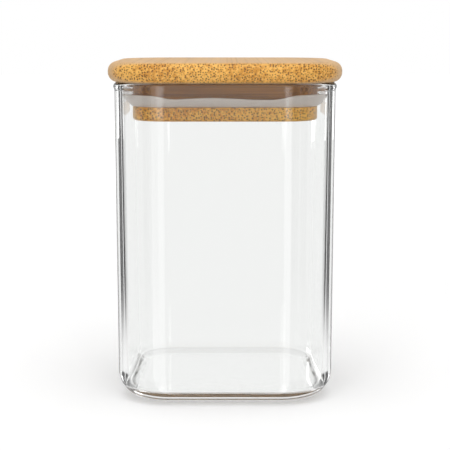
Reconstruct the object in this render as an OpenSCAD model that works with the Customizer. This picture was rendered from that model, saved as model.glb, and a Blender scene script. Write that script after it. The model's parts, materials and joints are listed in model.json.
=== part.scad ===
// Square glass spice jar with a push-in bamboo lid.
// Origin: centre of the base, on the surface that the jar stands on. +Z is up, +Y is the back.
// Every piece is the same square in plan, so one pair of corner axes serves them all: a section is
// drawn outward from a corner's upright axis and swept round the four corners and the four sides.

/* [Glass body] */
// Outside width of the glass at the rim, flat to flat
body_w = 70; // [60:0.5:90]
// Height of the glass, from the base to the top of the rim
body_h = 101.3; // [70:0.5:160]
// Outside radius of the upright corners at the rim
corner_r = 17.5; // [16:0.5:24]
// How far each side leans in between the rim and the base
taper = 0.6; // [0:0.05:1.2]
// Wall thickness at the rim
wall = 2.3; // [1.6:0.1:3.2]
// How much thicker the wall is at the base
wall_gain = 0.4; // [0:0.05:1]
// Thickness of the floor
floor_t = 3.5; // [2:0.1:8]
// Outside radius of the heel, where the wall turns into the base
heel_r = 11; // [4:0.5:13]
// Inside radius where the wall turns into the floor
floor_fillet = 8.5; // [2:0.5:10.5]
// How far the rim's bead stands out from the wall
bead_out = 0.35; // [0.1:0.05:0.8]
// Radius of the hollow blend between the bead and the wall
bead_blend = 2; // [0.5:0.25:4]

/* [Lid slab] */
// How far the slab reaches past the glass on each side
slab_overhang = 2; // [0.5:0.25:6]
// Thickness of the slab
slab_t = 6.5; // [4:0.25:12]
// Radius of the slab's upper and lower edges
slab_edge_r = 3; // [0.5:0.1:3.2]
// Gap between the rim and the slab that lies on it
seat_gap = 0.02; // [0.01:0.01:0.2]

/* [Plug] */
// Gap between the plug and the inside of the glass, which the seal's lip spans
plug_gap = 3.45; // [2:0.05:5]
// Thickness of the cross ply between the slab and the lowest ply
core_t = 7.5; // [5:0.25:14]
// Thickness of the lowest ply
base_t = 4.4; // [2:0.1:10]
// Radius of the plug's lower edge
base_edge_r = 1; // [0.3:0.1:1.8]
// Radius of the other edges that are only eased
ease_r = 0.25; // [0.1:0.05:0.5]
// Depth of the groove that holds the seal
groove_d = 2.8; // [1.5:0.1:4]
// Height of the groove
groove_h = 2.4; // [1.8:0.1:4]

/* [Seal] */
// Clearance of the seal's band in its groove
band_gap = 0.1; // [0.05:0.05:0.3]
// Clearance between the lip and the glass
lip_gap = 0.25; // [0.15:0.05:0.6]
// Thickness of the lip where it leaves the band
lip_root = 1.4; // [0.8:0.1:1.7]
// Thickness of the lip at its tip
lip_t = 0.7; // [0.4:0.1:1.2]
// Height of the lip's tip above the top of the lowest ply
lip_rise = 3.2; // [2:0.1:4.5]

/* [Hidden] */
$fn = 96;

// Distance of the corner axes from the middle planes, shared by all the pieces
flat = body_w / 2 - corner_r;

// Overshoot of a cutting shape past the face that it cuts
cut = 1;

// Largest share of a board's thickness that one of its rounded edges takes
edge_share = 0.49;

// Height at which each layer of the lid starts
slab_z = body_h + seat_gap;
core_z = slab_z - core_t;
base_z = core_z - base_t;

// Outer radius of the plug at its corners
plug_r = corner_r - wall - plug_gap;

// Lean of the outer and inner wall faces, as width per height
outer_lean = taper / body_h;
inner_lean = (taper + wall_gain) / body_h;

// Wall faces at height z, measured outward from a corner axis
function outer_x(z) = corner_r - taper + outer_lean * z;
function inner_x(z) = corner_r - wall - (taper + wall_gain) + inner_lean * z;

// Centre of a circle of radius r that touches a leaning wall, and the height z of that centre
function touching_x(face_x, lean, r) = face_x - r * sqrt(1 + lean * lean);

// Point where that circle touches the wall
function touch(x, z, lean, r) = [x + r * cos(atan(lean)), z - r * sin(atan(lean))];

// Heel outside and fillet inside
heel_x = touching_x(outer_x(heel_r), outer_lean, heel_r);
fillet_z = floor_t + floor_fillet;
fillet_x = touching_x(inner_x(fillet_z), inner_lean, floor_fillet);

// Bead round the rim, as thick as the wall and its outward bulge
bead_r = (wall + bead_out) / 2;
bead_z = body_h - bead_r;
bead_x = inner_x(bead_z) + bead_r;

// Hollow blend under the bead: its circle touches the bead and the leaning outer face
blend_reach = outer_x(bead_z) + bead_blend * sqrt(1 + outer_lean * outer_lean) - bead_x;
blend_a = 1 + outer_lean * outer_lean;
blend_b = blend_reach * outer_lean;
blend_c = blend_reach * blend_reach - (bead_r + bead_blend) * (bead_r + bead_blend);
blend_drop = (blend_b + sqrt(blend_b * blend_b - blend_a * blend_c)) / blend_a;
blend_z = bead_z - blend_drop;
blend_x = bead_x + blend_reach - outer_lean * blend_drop;

// Sweeps a section round the square. The section's x is the distance outward from a corner axis.
module sweep_square() {
    for (turn = [0 : 90 : 270])
        rotate(turn) {
            translate([flat, flat, 0])
                rotate_extrude(angle = 90)
                    children();
            translate([flat, 0, 0])
                rotate([90, 0, 0])
                    linear_extrude(2 * flat, center = true)
                        children();
        }
}

// Square block between the four corner axes, from z = low to z = high
module middle(low, high) {
    translate([0, 0, low])
        linear_extrude(high - low)
            square(2 * flat, center = true);
}

// Solid board: a section swept round the square, and the middle filled in
module board(low, high) {
    sweep_square() children();
    middle(low, high);
}

// Side of a leaning wall, closed to the corner axis, with a round foot of radius r
module round_footed(foot_x, foot_z, r, lean, top) {
    base = foot_z - r;
    polygon([
        [-cut, base], [foot_x, base], [foot_x, foot_z],
        touch(foot_x, foot_z, lean, r), top, [-cut, top[1]]
    ]);
    translate([foot_x, foot_z]) circle(r);
}

// Section of the glass, from the corner axis out
module glass_section() {
    cut_z = bead_z + cut;
    difference() {
        intersection() {
            round_footed(heel_x, heel_r, heel_r, outer_lean, [outer_x(bead_z), bead_z]);
            square([corner_r + cut, bead_z]);
        }
        round_footed(fillet_x, fillet_z, floor_fillet, inner_lean, [inner_x(cut_z), cut_z]);
    }
    translate([bead_x, bead_z]) circle(bead_r);
    difference() {
        polygon([
            [bead_x, bead_z], [blend_x, blend_z],
            [blend_x - bead_blend * cos(atan(outer_lean)), blend_z + bead_blend * sin(atan(outer_lean))]
        ]);
        translate([blend_x, blend_z]) circle(bead_blend);
    }
}

// Section of a board from the corner axis out to reach, with its lower and upper edges rounded
module edged_section(reach, low, high, low_edge, high_edge) {
    low_r = min(low_edge, edge_share * (high - low));
    high_r = min(high_edge, edge_share * (high - low));
    polygon([
        [0, low], [reach - low_r, low], [reach - low_r, low + low_r], [reach, low + low_r],
        [reach, high - high_r], [reach - high_r, high - high_r], [reach - high_r, high], [0, high]
    ]);
    translate([reach - low_r, low + low_r]) circle(low_r);
    translate([reach - high_r, high - high_r]) circle(high_r);
}

module glass_body() {
    color([0.87, 0.91, 0.90, 0.35])
        board(0, floor_t) glass_section();
}

module lid_slab() {
    color([0.86, 0.66, 0.38])
        board(slab_z, slab_z + slab_t)
            edged_section(corner_r + slab_overhang, slab_z, slab_z + slab_t, slab_edge_r, slab_edge_r);
}

module plug_core() {
    color([0.62, 0.43, 0.24])
        board(core_z, slab_z) {
            translate([0, core_z]) square([plug_r - groove_d, core_t]);
            edged_section(plug_r, core_z + groove_h, slab_z, ease_r, ease_r);
        }
}

module plug_base() {
    color([0.83, 0.62, 0.33])
        board(base_z, core_z)
            edged_section(plug_r, base_z, core_z, base_edge_r, ease_r);
}

module silicone_seal() {
    tip_z = core_z + lip_rise - lip_t / 2;
    tip_x = inner_x(tip_z) - lip_gap - lip_t / 2;
    root_x = plug_r - lip_t;
    color([0.88, 0.85, 0.82])
        sweep_square() {
            translate([plug_r - groove_d + band_gap, core_z])
                square([groove_d - band_gap, groove_h - band_gap]);
            polygon([
                [root_x, core_z], [plug_r, core_z],
                [tip_x + lip_t / 2, tip_z], [tip_x - lip_t / 2, tip_z],
                [root_x, core_z + lip_root]
            ]);
            translate([tip_x, tip_z]) circle(lip_t / 2);
        }
}

glass_body();
lid_slab();
plug_core();
plug_base();
silicone_seal();
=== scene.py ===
import json
import math

import bpy
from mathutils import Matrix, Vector

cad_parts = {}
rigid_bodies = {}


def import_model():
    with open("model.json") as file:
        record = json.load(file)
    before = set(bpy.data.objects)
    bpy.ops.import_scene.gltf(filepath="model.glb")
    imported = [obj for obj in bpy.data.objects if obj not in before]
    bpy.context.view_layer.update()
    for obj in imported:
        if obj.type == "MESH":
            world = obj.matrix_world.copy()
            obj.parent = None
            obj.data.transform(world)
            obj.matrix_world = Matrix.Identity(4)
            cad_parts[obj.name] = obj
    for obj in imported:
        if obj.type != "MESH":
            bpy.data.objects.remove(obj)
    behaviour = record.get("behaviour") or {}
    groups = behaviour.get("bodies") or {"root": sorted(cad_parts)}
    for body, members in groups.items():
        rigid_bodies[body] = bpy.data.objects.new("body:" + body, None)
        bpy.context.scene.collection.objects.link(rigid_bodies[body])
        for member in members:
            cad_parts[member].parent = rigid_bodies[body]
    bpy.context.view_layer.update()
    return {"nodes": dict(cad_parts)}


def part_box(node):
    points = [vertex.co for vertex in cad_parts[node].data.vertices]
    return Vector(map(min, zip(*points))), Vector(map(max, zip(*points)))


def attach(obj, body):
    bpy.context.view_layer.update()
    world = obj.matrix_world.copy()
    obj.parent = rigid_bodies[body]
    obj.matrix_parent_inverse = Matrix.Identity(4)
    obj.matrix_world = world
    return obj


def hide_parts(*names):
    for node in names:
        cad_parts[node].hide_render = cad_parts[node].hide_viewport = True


for thing in list(bpy.data.objects):
    bpy.data.objects.remove(thing)

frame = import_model()
scene = bpy.context.scene
nodes = frame["nodes"]

MM = 0.001


# Sizes taken from the frame, in millimetres

def box_mm(node):
    low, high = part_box(node)
    return [value / MM for value in low], [value / MM for value in high]


RIM_HALF = 35.0
WALL = 2.3
TAPER = 0.6
WALL_GAIN = 0.4
CORNER_R = 17.5
FLAT = RIM_HALF - CORNER_R
BODY_H = box_mm("glass_body")[1][2]
CORE_LOW = box_mm("plug_core")[0][2]
PLUG_HALF = box_mm("plug_core")[1][0]
SEAL_HALF = box_mm("silicone_seal")[1][0]


# Camera

PHOTO_SIDE = 450
FOCAL_PIXELS = 1415
SENSOR_WIDTH = 36
NEAREST_SEEN = 10 * MM
CAMERA_DISTANCE = 467.2 * MM
CAMERA_HEIGHT = 118.8 * MM
CAMERA_PITCH = math.radians(8.01)


def make_camera():
    data = bpy.data.cameras.new("camera")
    data.sensor_width = SENSOR_WIDTH
    data.lens = FOCAL_PIXELS / PHOTO_SIDE * data.sensor_width
    data.clip_start = NEAREST_SEEN
    camera = bpy.data.objects.new("camera", data)
    camera.location = (0, -CAMERA_DISTANCE, CAMERA_HEIGHT)
    camera.rotation_euler = (math.pi / 2 - CAMERA_PITCH, 0, 0)
    scene.collection.objects.link(camera)
    scene.camera = camera
    scene.view_settings.view_transform = "Standard"


# Light runs along inside the thick foot of the glass and turns many times before it leaves

TURNS_IN_ALL = 28
TURNS_OF_ONE_KIND = 24


def allow_deep_paths():
    scene.cycles.max_bounces = TURNS_IN_ALL
    scene.cycles.glossy_bounces = TURNS_OF_ONE_KIND
    scene.cycles.transmission_bounces = TURNS_OF_ONE_KIND


# Shader helpers

# Places of the Mix node's colour inputs and colour output
MIX_FIRST = 6
MIX_SECOND = 7
MIX_RESULT = 2


class Graph:
    """Short ways to add shader nodes to one node tree."""

    def __init__(self, tree):
        self.tree = tree

    def node(self, kind, **settings):
        made = self.tree.nodes.new(kind)
        for name, value in settings.items():
            setattr(made, name, value)
        return made

    def feed(self, socket, value):
        if isinstance(value, bpy.types.NodeSocket):
            self.tree.links.new(value, socket)
        else:
            socket.default_value = value

    def math(self, operation, *values):
        made = self.node("ShaderNodeMath", operation=operation)
        for socket, value in zip(made.inputs, values):
            self.feed(socket, value)
        return made.outputs[0]

    def ramp(self, value, low, high, start=0.0, end=1.0):
        made = self.node("ShaderNodeMapRange", interpolation_type="SMOOTHSTEP")
        for socket, number in zip(made.inputs, (value, low, high, start, end)):
            self.feed(socket, number)
        return made.outputs[0]

    def stretched(self, source, scale):
        made = self.node("ShaderNodeVectorMath", operation="MULTIPLY")
        self.feed(made.inputs[0], source)
        made.inputs[1].default_value = scale
        return made.outputs[0]

    def noise(self, source, scale, detail=2.0, roughness=0.5):
        made = self.node("ShaderNodeTexNoise")
        self.feed(made.inputs["Vector"], source)
        made.inputs["Scale"].default_value = scale
        made.inputs["Detail"].default_value = detail
        made.inputs["Roughness"].default_value = roughness
        return made.outputs["Fac"]

    def mix(self, factor, first, second):
        made = self.node("ShaderNodeMix", data_type="RGBA")
        self.feed(made.inputs["Factor"], factor)
        self.feed(made.inputs[MIX_FIRST], first)
        self.feed(made.inputs[MIX_SECOND], second)
        return made.outputs[MIX_RESULT]

    def bump(self, height, strength, distance):
        made = self.node("ShaderNodeBump")
        self.feed(made.inputs["Height"], height)
        made.inputs["Strength"].default_value = strength
        made.inputs["Distance"].default_value = distance
        return made.outputs["Normal"]


def blank_material(name):
    material = bpy.data.materials.new(name)
    material.use_nodes = True
    graph = Graph(material.node_tree)
    return material, graph, material.node_tree.nodes["Principled BSDF"]


def rgb(red, green, blue):
    return (red, green, blue, 1.0)


# Bamboo

ALONG_X = 0
ALONG_Y = 1
PORE_PITCH = 0.78 * MM
PORE_SCATTER = 0.9
FIBRE_STRETCH = 0.02

# How squarely a face has to look along the fibres to show their cut ends
END_FACE = (0.35, 0.62)

# Radius of a dot and softness of its rim, as shares of the pitch
DOT_RADIUS = 0.10
DOT_RADIUS_SPREAD = 0.22
DOT_RIM = (-0.10, 0.14)

# How strongly the dots show on a long face and on an end face
DOT_SHOW = (0.16, 0.92)

# Scale of each noise, per metre
BROAD_STREAKS = 130
FINE_STREAKS = 1500
CLOUDS = 55
SPECKS = 1100

# Share of each noise in the tone of a face, and the span that the tone is drawn from
BROAD_SHARE = 0.45
FINE_SHARE = 0.55
FACE_SPAN = (0.33, 0.66)
CLOUD_SHARE = 0.4
SPECK_SHARE = 0.6
END_SPAN = (0.40, 0.60)

# Range of the fine streaks, and the roughness at either end of it
STREAK_SPAN = (0.3, 0.7)
WOOD_ROUGHNESS = (0.36, 0.55)

STREAK_HEIGHT = 0.35
WOOD_BUMP = 0.35
WOOD_RELIEF = 0.12 * MM


def dots(graph, place, along):
    """Cut ends of the fibre bundles, scattered over the plane across the fibres."""
    where = graph.node("ShaderNodeSeparateXYZ")
    graph.feed(where.inputs[0], place.outputs["Object"])
    across = graph.node("ShaderNodeCombineXYZ")
    graph.feed(across.inputs[0], where.outputs[1 - along])
    graph.feed(across.inputs[1], where.outputs["Z"])
    bundles = graph.node("ShaderNodeTexVoronoi", feature="F1", voronoi_dimensions="2D")
    graph.feed(bundles.inputs["Vector"], across.outputs[0])
    bundles.inputs["Scale"].default_value = 1 / PORE_PITCH
    bundles.inputs["Randomness"].default_value = PORE_SCATTER
    size = graph.node("ShaderNodeSeparateColor")
    graph.feed(size.inputs[0], bundles.outputs["Color"])
    radius = graph.math("MULTIPLY_ADD", size.outputs[0], DOT_RADIUS_SPREAD, DOT_RADIUS)
    outside = graph.math("SUBTRACT", bundles.outputs["Distance"], radius)
    return graph.ramp(outside, *DOT_RIM, 1.0, 0.0)


def bamboo(name, along, palette):
    """Pressed bamboo: fibre bundles run along one axis, dots on the cut ends, fine streaks along it."""
    material, graph, shader = blank_material(name)
    place = graph.node("ShaderNodeTexCoord")
    squeeze = [1.0, 1.0, 1.0]
    squeeze[along] = FIBRE_STRETCH
    grain = graph.stretched(place.outputs["Object"], squeeze)

    split = graph.node("ShaderNodeSeparateXYZ")
    graph.feed(split.inputs[0], place.outputs["Normal"])
    end_face = graph.ramp(graph.math("ABSOLUTE", split.outputs[along]), *END_FACE)
    dot = dots(graph, place, along)

    broad = graph.noise(grain, BROAD_STREAKS, detail=3)
    fine = graph.noise(grain, FINE_STREAKS, detail=3, roughness=0.6)
    cloud = graph.noise(place.outputs["Object"], CLOUDS, detail=2)
    speck = graph.noise(place.outputs["Object"], SPECKS, detail=2)
    streaks = graph.math("MULTIPLY_ADD", fine, FINE_SHARE, graph.math("MULTIPLY", broad, BROAD_SHARE))
    face = graph.mix(graph.ramp(streaks, *FACE_SPAN), palette["face_dark"], palette["face_light"])
    mottle = graph.math("MULTIPLY_ADD", cloud, CLOUD_SHARE, graph.math("MULTIPLY", speck, SPECK_SHARE))
    end = graph.mix(graph.ramp(mottle, *END_SPAN), palette["end_dark"], palette["end_light"])
    show = graph.math("MULTIPLY", dot, graph.ramp(end_face, 0.0, 1.0, *DOT_SHOW))
    colour = graph.mix(show, graph.mix(end_face, face, end), PORE_COLOUR)
    graph.feed(shader.inputs["Base Color"], colour)
    graph.feed(shader.inputs["Roughness"], graph.ramp(fine, *STREAK_SPAN, *WOOD_ROUGHNESS))
    height = graph.math("MULTIPLY_ADD", show, -1.0, graph.math("MULTIPLY", fine, STREAK_HEIGHT))
    graph.feed(shader.inputs["Normal"], graph.bump(height, WOOD_BUMP, WOOD_RELIEF))
    return material


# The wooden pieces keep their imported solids

PORE_COLOUR = rgb(0.13, 0.045, 0.008)
TOP_BOARD = {
    "face_light": rgb(0.82, 0.53, 0.26),
    "face_dark": rgb(0.68, 0.40, 0.16),
    "end_light": rgb(0.98, 0.54, 0.12),
    "end_dark": rgb(0.66, 0.29, 0.04),
}
# The lowest ply is a brighter copy of the board's tones: painted light, for the light that the glass
# keeps off it
LOWEST_PLY_PAINTED_LIGHTER = {
    "face_light": rgb(0.90, 0.60, 0.28),
    "face_dark": rgb(0.74, 0.43, 0.15),
    "end_light": rgb(1.0, 0.55, 0.09),
    "end_dark": rgb(0.74, 0.30, 0.025),
}
# The cross ply's tones are much darker than the board's: painted shade, for the shade under the slab's
# overhang. Its streaks and mottle are grain
CROSS_PLY_PAINTED_SHADE = {
    "face_light": rgb(0.50, 0.22, 0.04),
    "face_dark": rgb(0.17, 0.06, 0.009),
    "end_light": rgb(0.58, 0.27, 0.06),
    "end_dark": rgb(0.32, 0.13, 0.025),
}


def dress_wood():
    nodes["lid_slab"].data.materials[0] = bamboo("bamboo_board", ALONG_Y, TOP_BOARD)
    # The lowest ply gets its brighter copy of the board's tones, painted light behind the glass
    nodes["plug_base"].data.materials[0] = bamboo("bamboo_board_lowest_painted_lighter", ALONG_Y, LOWEST_PLY_PAINTED_LIGHTER)
    # The cross ply gets darker tones, painted shade under the slab
    nodes["plug_core"].data.materials[0] = bamboo("bamboo_cross_ply", ALONG_X, CROSS_PLY_PAINTED_SHADE)


# Silicone and glass

SILICONE_WARM = rgb(0.98, 0.86, 0.78)
SILICONE_PALE = rgb(1.0, 0.94, 0.88)
SILICONE_HAZE = 160
SILICONE_HAZE_SPAN = (0.3, 0.7)
SILICONE_ROUGHNESS = (0.30, 0.42)
SILICONE_GRIT = 900
SILICONE_BUMP = 0.08
SILICONE_RELIEF = 0.1 * MM
SILICONE_CLEARNESS = 0.2
SILICONE_IOR = 1.41

GLASS_TINT = rgb(0.945, 0.95, 0.945)
GLASS_IOR = 1.47
GLASS_WAVES = 45
GLASS_WAVE_STRETCH = (1.0, 1.0, 0.35)
GLASS_BUMP = 0.03
GLASS_RELIEF = 0.5 * MM


def silicone():
    material, graph, shader = blank_material("translucent_silicone")
    place = graph.node("ShaderNodeTexCoord")
    haze = graph.noise(place.outputs["Object"], SILICONE_HAZE, detail=3)
    graph.feed(shader.inputs["Base Color"], graph.mix(haze, SILICONE_WARM, SILICONE_PALE))
    graph.feed(shader.inputs["Roughness"], graph.ramp(haze, *SILICONE_HAZE_SPAN, *SILICONE_ROUGHNESS))
    grit = graph.noise(place.outputs["Object"], SILICONE_GRIT)
    graph.feed(shader.inputs["Normal"], graph.bump(grit, SILICONE_BUMP, SILICONE_RELIEF))
    shader.inputs["Transmission Weight"].default_value = SILICONE_CLEARNESS
    shader.inputs["IOR"].default_value = SILICONE_IOR
    return material


def clear_glass():
    material, graph, shader = blank_material("clear_glass")
    place = graph.node("ShaderNodeTexCoord")
    drawn = graph.stretched(place.outputs["Object"], GLASS_WAVE_STRETCH)
    waves = graph.noise(drawn, GLASS_WAVES, detail=1)
    graph.feed(shader.inputs["Normal"], graph.bump(waves, GLASS_BUMP, GLASS_RELIEF))
    shader.inputs["Base Color"].default_value = GLASS_TINT
    shader.inputs["Roughness"].default_value = 0.0
    shader.inputs["IOR"].default_value = GLASS_IOR
    shader.inputs["Transmission Weight"].default_value = 1.0
    return material


# Forms swept round the square plan

CORNER_STEPS = 32
SIDE_STEPS = 16


def square_stations():
    """Corner axis signs and outward direction of each station round the square."""
    stations = []
    signs = ((1, 1), (-1, 1), (-1, -1), (1, -1))
    for turn, (sx, sy) in enumerate(signs):
        start = turn * math.pi / 2
        for step in range(CORNER_STEPS):
            angle = start + math.pi / 2 * step / CORNER_STEPS
            stations.append((sx, sy, math.cos(angle), math.sin(angle)))
        nx, ny = signs[(turn + 1) % 4]
        angle = start + math.pi / 2
        for step in range(SIDE_STEPS):
            share = step / SIDE_STEPS
            place = (sx + (nx - sx) * share, sy + (ny - sy) * share)
            stations.append((*place, math.cos(angle), math.sin(angle)))
    return stations


def swept_piece(name, section_at, capped):
    """Joins one section per station; section_at(x, y) gives half-widths and heights in millimetres."""
    stations = square_stations()
    columns = []
    for sx, sy, ux, uy in stations:
        section = section_at(sx * FLAT + ux * CORNER_R, sy * FLAT + uy * CORNER_R)
        column = []
        for half, z in section:
            out = half - FLAT
            column.append(Vector((sx * FLAT + ux * out, sy * FLAT + uy * out, z)) * MM)
        columns.append(column)
    count = len(columns)
    depth = len(columns[0])
    points = [point for column in columns for point in column]
    faces = []
    last = depth - 1 if capped else depth
    for i in range(count):
        j = (i + 1) % count
        for k in range(last):
            n = (k + 1) % depth
            faces.append((i * depth + k, j * depth + k, j * depth + n, i * depth + n))
    if capped:
        faces.append(tuple(i * depth for i in reversed(range(count))))
        faces.append(tuple(i * depth + depth - 1 for i in range(count)))
    mesh = bpy.data.meshes.new(name)
    mesh.from_pydata(points, [], faces)
    for face in mesh.polygons:
        face.use_smooth = True
    piece = bpy.data.objects.new(name, mesh)
    scene.collection.objects.link(piece)
    return piece


def arc(x, z, radius, start, end, steps):
    points = []
    for step in range(steps + 1):
        angle = start + (end - start) * step / steps
        points.append((x + radius * math.cos(angle), z + radius * math.sin(angle)))
    return points


# Glass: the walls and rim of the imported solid, with the photograph's crisper foot

HEEL_R = 8.5
FLOOR_T = 4.1
FILLET_R = 1.0
BEAD_OUT = 0.35
BLEND_R = 2.0
ARC_STEPS = 16


def outer_half(z):
    return RIM_HALF - TAPER * (1 - z / BODY_H)


def inner_half(z):
    return RIM_HALF - WALL - (TAPER + WALL_GAIN) * (1 - z / BODY_H)


def glass_section(_x, _y):
    outer_lean = math.atan(TAPER / BODY_H)
    inner_lean = math.atan((TAPER + WALL_GAIN) / BODY_H)
    heel_x = outer_half(HEEL_R) - HEEL_R / math.cos(outer_lean)
    points = arc(heel_x, HEEL_R, HEEL_R, -math.pi / 2, -outer_lean, ARC_STEPS)
    bead_r = (WALL + BEAD_OUT) / 2
    bead_z = BODY_H - bead_r
    bead_x = inner_half(bead_z) + bead_r
    reach = outer_half(bead_z) + BLEND_R - bead_x
    drop = math.sqrt((bead_r + BLEND_R) ** 2 - reach ** 2)
    blend_x = bead_x + reach
    blend_z = bead_z - drop
    meet = math.atan2(drop, -reach)
    points += arc(blend_x, blend_z, BLEND_R, math.pi - outer_lean, meet, ARC_STEPS // 2)
    points += arc(bead_x, bead_z, bead_r, meet - math.pi, math.pi, 2 * ARC_STEPS)[1:]
    fillet_z = FLOOR_T + FILLET_R
    fillet_x = inner_half(fillet_z) - FILLET_R / math.cos(inner_lean)
    points += arc(fillet_x, fillet_z, FILLET_R, -inner_lean, -math.pi / 2, ARC_STEPS)
    return points


def make_glass():
    piece = swept_piece("glass_jar", glass_section, True)
    piece.modifiers.new("normals", "WEIGHTED_NORMAL")
    piece.data.materials.append(clear_glass())
    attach(piece, "jar")
    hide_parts("glass_body")


# Seal: a band in its groove and a soft lip that ripples where it meets the glass

BAND_DEPTH = 2.6
BAND_H = 2.3
LIP_ROOT = 1.4
LIP_T = 0.7
LIP_LOW = 2.5

# The tip climbs this far towards a corner, from this distance off the middle of a side, over this length
CORNER_LIFT = 1.0
LIFT_START = 15
LIFT_LENGTH = 9

# Waves of the tip round the whole ring, and the share of them that is lost in the corners
RIPPLE = 0.28
RIPPLE_WAVES = 7
RIPPLE_PHASE = 0.8
RIPPLE_LOST = 0.6

# Foot of the lip: its gap to the ply, and where it leaves the band
FOOT_GAP = 0.02
FOOT_IN = 0.3
FOOT_OUT = 0.25
FOOT_RISE = 0.12

# Underside of the lip, halfway out, and how much more it hangs along the sides
BELLY_OUT = 0.2
BELLY_DROP = 0.35
BELLY_HANG = 0.25

# Arc round the tip, and the top of the lip on the way back to the band
TIP_START = -math.pi / 4
TIP_END = math.pi * 0.85
TIP_STEPS = 8
BACK_IN = 0.25
BACK_RISE = 0.05
ROOT_IN = 0.1
ROOT_RISE = 0.2


def seal_section(x, y):
    along = x if abs(y) > abs(x) else y
    side = math.atan2(y, x)
    lift = min(1.0, max(0.0, (abs(along) - LIFT_START) / LIFT_LENGTH))
    lift = lift * lift * (3 - 2 * lift)
    tip_z = CORE_LOW + LIP_LOW + CORNER_LIFT * lift
    tip_z += RIPPLE * math.sin(RIPPLE_WAVES * side + RIPPLE_PHASE) * (1 - RIPPLE_LOST * lift)
    tip_r = LIP_T / 2
    tip_x = SEAL_HALF - tip_r
    middle_x = (PLUG_HALF + tip_x) / 2
    hang = BELLY_HANG * (1 - lift)
    points = [
        (PLUG_HALF - BAND_DEPTH, CORE_LOW + BAND_H),
        (PLUG_HALF - BAND_DEPTH, CORE_LOW + FOOT_GAP),
        (PLUG_HALF - FOOT_IN, CORE_LOW + FOOT_GAP),
        (PLUG_HALF + FOOT_OUT, CORE_LOW + FOOT_RISE),
        (middle_x + BELLY_OUT, (CORE_LOW + tip_z) / 2 - BELLY_DROP - hang),
    ]
    points += arc(tip_x, tip_z, tip_r, TIP_START, TIP_END, TIP_STEPS)
    points += [
        (middle_x - BACK_IN, (CORE_LOW + LIP_ROOT + tip_z) / 2 + BACK_RISE),
        (PLUG_HALF - ROOT_IN, CORE_LOW + LIP_ROOT + ROOT_RISE),
        (PLUG_HALF - LIP_T, CORE_LOW + BAND_H),
    ]
    return points


def make_seal():
    piece = swept_piece("seal_ring", seal_section, False)
    piece.data.materials.append(silicone())
    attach(piece, "lid")
    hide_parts("silicone_seal")


# Floor: seen directly it carries the jar's shadow. Glass and reflections see the world in its place

FLOOR_HALF = 3.0
FLOOR_COLOUR = rgb(0.8, 0.8, 0.8)

# To the camera it also glows, more and more between two distances from the jar, so that it stays white
GLOW_NEAR = 0.32
GLOW_FAR = 0.60
GLOW_REACH = (0.15, 1.0)


def make_floor():
    mesh = bpy.data.meshes.new("floor")
    corners = [(-FLOOR_HALF, -FLOOR_HALF, 0), (FLOOR_HALF, -FLOOR_HALF, 0)]
    corners += [(FLOOR_HALF, FLOOR_HALF, 0), (-FLOOR_HALF, FLOOR_HALF, 0)]
    mesh.from_pydata(corners, [], [(0, 1, 2, 3)])
    floor = bpy.data.objects.new("floor", mesh)
    scene.collection.objects.link(floor)
    material = bpy.data.materials.new("floor")
    material.use_nodes = True
    tree = material.node_tree
    tree.nodes.clear()
    graph = Graph(tree)
    matte = graph.node("ShaderNodeBsdfDiffuse")
    matte.inputs["Color"].default_value = FLOOR_COLOUR
    path = graph.node("ShaderNodeLightPath")
    glow = graph.node("ShaderNodeEmission")
    place = graph.node("ShaderNodeNewGeometry")
    reach = graph.node("ShaderNodeVectorMath", operation="LENGTH")
    graph.feed(reach.inputs[0], place.outputs["Position"])
    lift = graph.ramp(reach.outputs["Value"], *GLOW_REACH, GLOW_NEAR, GLOW_FAR)
    graph.feed(glow.inputs["Strength"], graph.math("MULTIPLY", path.outputs["Is Camera Ray"], lift))
    both = graph.node("ShaderNodeAddShader")
    graph.feed(both.inputs[0], matte.outputs[0])
    graph.feed(both.inputs[1], glow.outputs[0])
    open_air = graph.node("ShaderNodeBsdfTransparent")
    choose = graph.node("ShaderNodeMixShader")
    indirect = graph.math("MAXIMUM", path.outputs["Is Transmission Ray"], path.outputs["Is Glossy Ray"])
    graph.feed(choose.inputs[0], indirect)
    graph.feed(choose.inputs[1], both.outputs[0])
    graph.feed(choose.inputs[2], open_air.outputs[0])
    output = graph.node("ShaderNodeOutputMaterial")
    graph.feed(output.inputs["Surface"], choose.outputs[0])
    mesh.materials.append(material)


# World: white, softer as a light than as a backdrop, with dark cards that the glass bends into its edges

FILL_LIGHT = 0.55

# Eight upright cards, one on either side of each axis, between these angles off it
CARD_START = math.radians(25)
CARD_END = math.radians(42)
CARD_SOFT = math.radians(3)
CARD_FOOT = (math.radians(-15), math.radians(-10))

# Brightness of a fully dark card, and how much of its darkness the paths outside the wall see
CARD_LIGHT = 0.02
CARD_SHARE = 0.25

# Paths inside the wall: more mirror turns than this, and fewer passes through a surface
WALL_TURNS = 1.5
WALL_PASSES = 2.5

# Elevations over which it darkens towards the ceiling and towards the ground, and by how much
CEILING = (math.radians(28), math.radians(50))
CEILING_SHARE = 0.55
UNDERSIDE = (math.radians(-30), math.radians(-20))
UNDERSIDE_SHARE = 0.22

# In a reflection it is dimmer, with two bright bands, in degrees from the front
MIRRORED_LEVEL = 0.6
BAND_LEVEL = 2.3
LEFT_BAND = (-39, -9)
RIGHT_BAND = (6, 23)


def band(graph, azimuth, low, high):
    """One between two azimuths from the front, with soft edges."""
    rise = graph.ramp(azimuth, math.radians(low), math.radians(low) + CARD_SOFT)
    fall = graph.ramp(azimuth, math.radians(high) - CARD_SOFT, math.radians(high), 1.0, 0.0)
    return graph.math("MULTIPLY", rise, fall)


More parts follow.
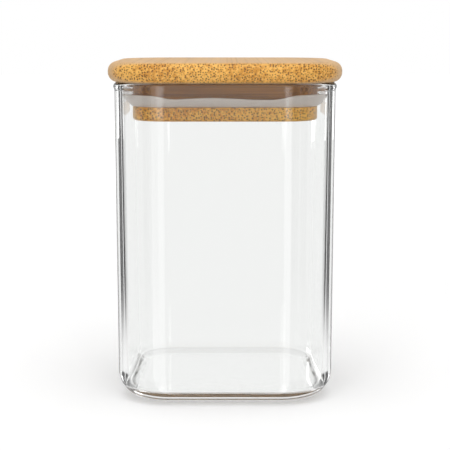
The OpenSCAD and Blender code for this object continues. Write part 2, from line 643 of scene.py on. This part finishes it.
def darkness(graph, path, split):
    """How dark the world is for light that went through glass, from 0 to 1."""
    azimuth = graph.math("ARCTAN2", split.outputs["X"], split.outputs["Y"])
    off_axis = graph.math("PINGPONG", azimuth, math.pi / 4)
    height = graph.math("ARCSINE", split.outputs["Z"])
    card = graph.ramp(off_axis, CARD_START, CARD_START + CARD_SOFT)
    card = graph.math("MULTIPLY", card, graph.ramp(off_axis, CARD_END, CARD_END + CARD_SOFT, 1.0, 0.0))
    card = graph.math("MULTIPLY", card, graph.ramp(height, *CARD_FOOT))
    turns = graph.math("SUBTRACT", path.outputs["Ray Depth"], path.outputs["Transmission Depth"])
    in_wall = graph.math("LESS_THAN", path.outputs["Transmission Depth"], WALL_PASSES)
    in_wall = graph.math("MULTIPLY", in_wall, graph.math("GREATER_THAN", turns, WALL_TURNS))
    card = graph.math("MULTIPLY", card, graph.ramp(in_wall, 0.0, 1.0, CARD_SHARE, 1.0))
    above = graph.ramp(height, *CEILING, 0.0, CEILING_SHARE)
    below = graph.ramp(height, *UNDERSIDE, UNDERSIDE_SHARE, 0.0)
    dark = graph.math("MAXIMUM", card, graph.math("MAXIMUM", above, below))
    return graph.math("MULTIPLY", dark, path.outputs["Is Transmission Ray"])


def mirror_level(graph, path, split):
    """Brightness of the world in plain reflections. It is 1 for every other path."""
    front = graph.math("ARCTAN2", split.outputs["X"], graph.math("MULTIPLY", split.outputs["Y"], -1.0))
    bright = graph.math("MAXIMUM", band(graph, front, *LEFT_BAND), band(graph, front, *RIGHT_BAND))
    sheen = graph.ramp(bright, 0.0, 1.0, MIRRORED_LEVEL, BAND_LEVEL)
    mirrored = graph.math("SUBTRACT", path.outputs["Is Glossy Ray"], path.outputs["Is Transmission Ray"])
    return graph.math("MULTIPLY_ADD", mirrored, graph.math("SUBTRACT", sheen, 1.0), 1.0)


def make_world():
    world = bpy.data.worlds.new("studio")
    scene.world = world
    world.use_nodes = True
    graph = Graph(world.node_tree)
    background = world.node_tree.nodes["Background"]
    background.inputs["Color"].default_value = rgb(1, 1, 1)
    path = graph.node("ShaderNodeLightPath")
    place = graph.node("ShaderNodeTexCoord")
    split = graph.node("ShaderNodeSeparateXYZ")
    graph.feed(split.inputs[0], place.outputs["Generated"])
    backdrop = graph.ramp(darkness(graph, path, split), 0.0, 1.0, 1.0, CARD_LIGHT)
    seen = graph.math("MAXIMUM", path.outputs["Is Camera Ray"], path.outputs["Is Glossy Ray"])
    seen = graph.math("MAXIMUM", seen, path.outputs["Is Transmission Ray"])
    level = graph.ramp(seen, 0.0, 1.0, FILL_LIGHT, 1.0)
    level = graph.math("MULTIPLY", level, mirror_level(graph, path, split))
    graph.feed(background.inputs["Strength"], graph.math("MULTIPLY", backdrop, level))


# Softboxes: name, degrees from the front, then in metres the distance, height and size, then radiance

SOFTBOXES = (
    ("softbox_left", -23, 1.2, 0.45, 0.34, 1.0, 1.7),
    ("softbox_right", 15, 1.2, 0.45, 0.14, 1.0, 2.4),
    ("softbox_back_left", -150, 1.3, 0.35, 0.2, 0.8, 1.8),
    ("softbox_back_right", 160, 1.3, 0.35, 0.2, 0.8, 1.8),
    ("softbox_top", 0, 0.25, 1.0, 0.8, 0.8, 1.9),
)


def softbox(name, azimuth, distance, height, width, tall, radiance):
    data = bpy.data.lights.new(name, "AREA")
    data.shape = "RECTANGLE"
    data.size = width
    data.size_y = tall
    data.energy = radiance * math.pi * width * tall
    lamp = bpy.data.objects.new(name, data)
    angle = math.radians(azimuth)
    lamp.location = (distance * math.sin(angle), -distance * math.cos(angle), height)
    aim = Vector((0, 0, BODY_H * MM / 2)) - lamp.location
    lamp.rotation_euler = aim.to_track_quat("-Z", "Y").to_euler()
    lamp.visible_glossy = False
    scene.collection.objects.link(lamp)


def make_lamps():
    for row in SOFTBOXES:
        softbox(*row)


make_camera()
allow_deep_paths()
make_floor()
make_world()
make_lamps()
dress_wood()
make_glass()
make_seal()
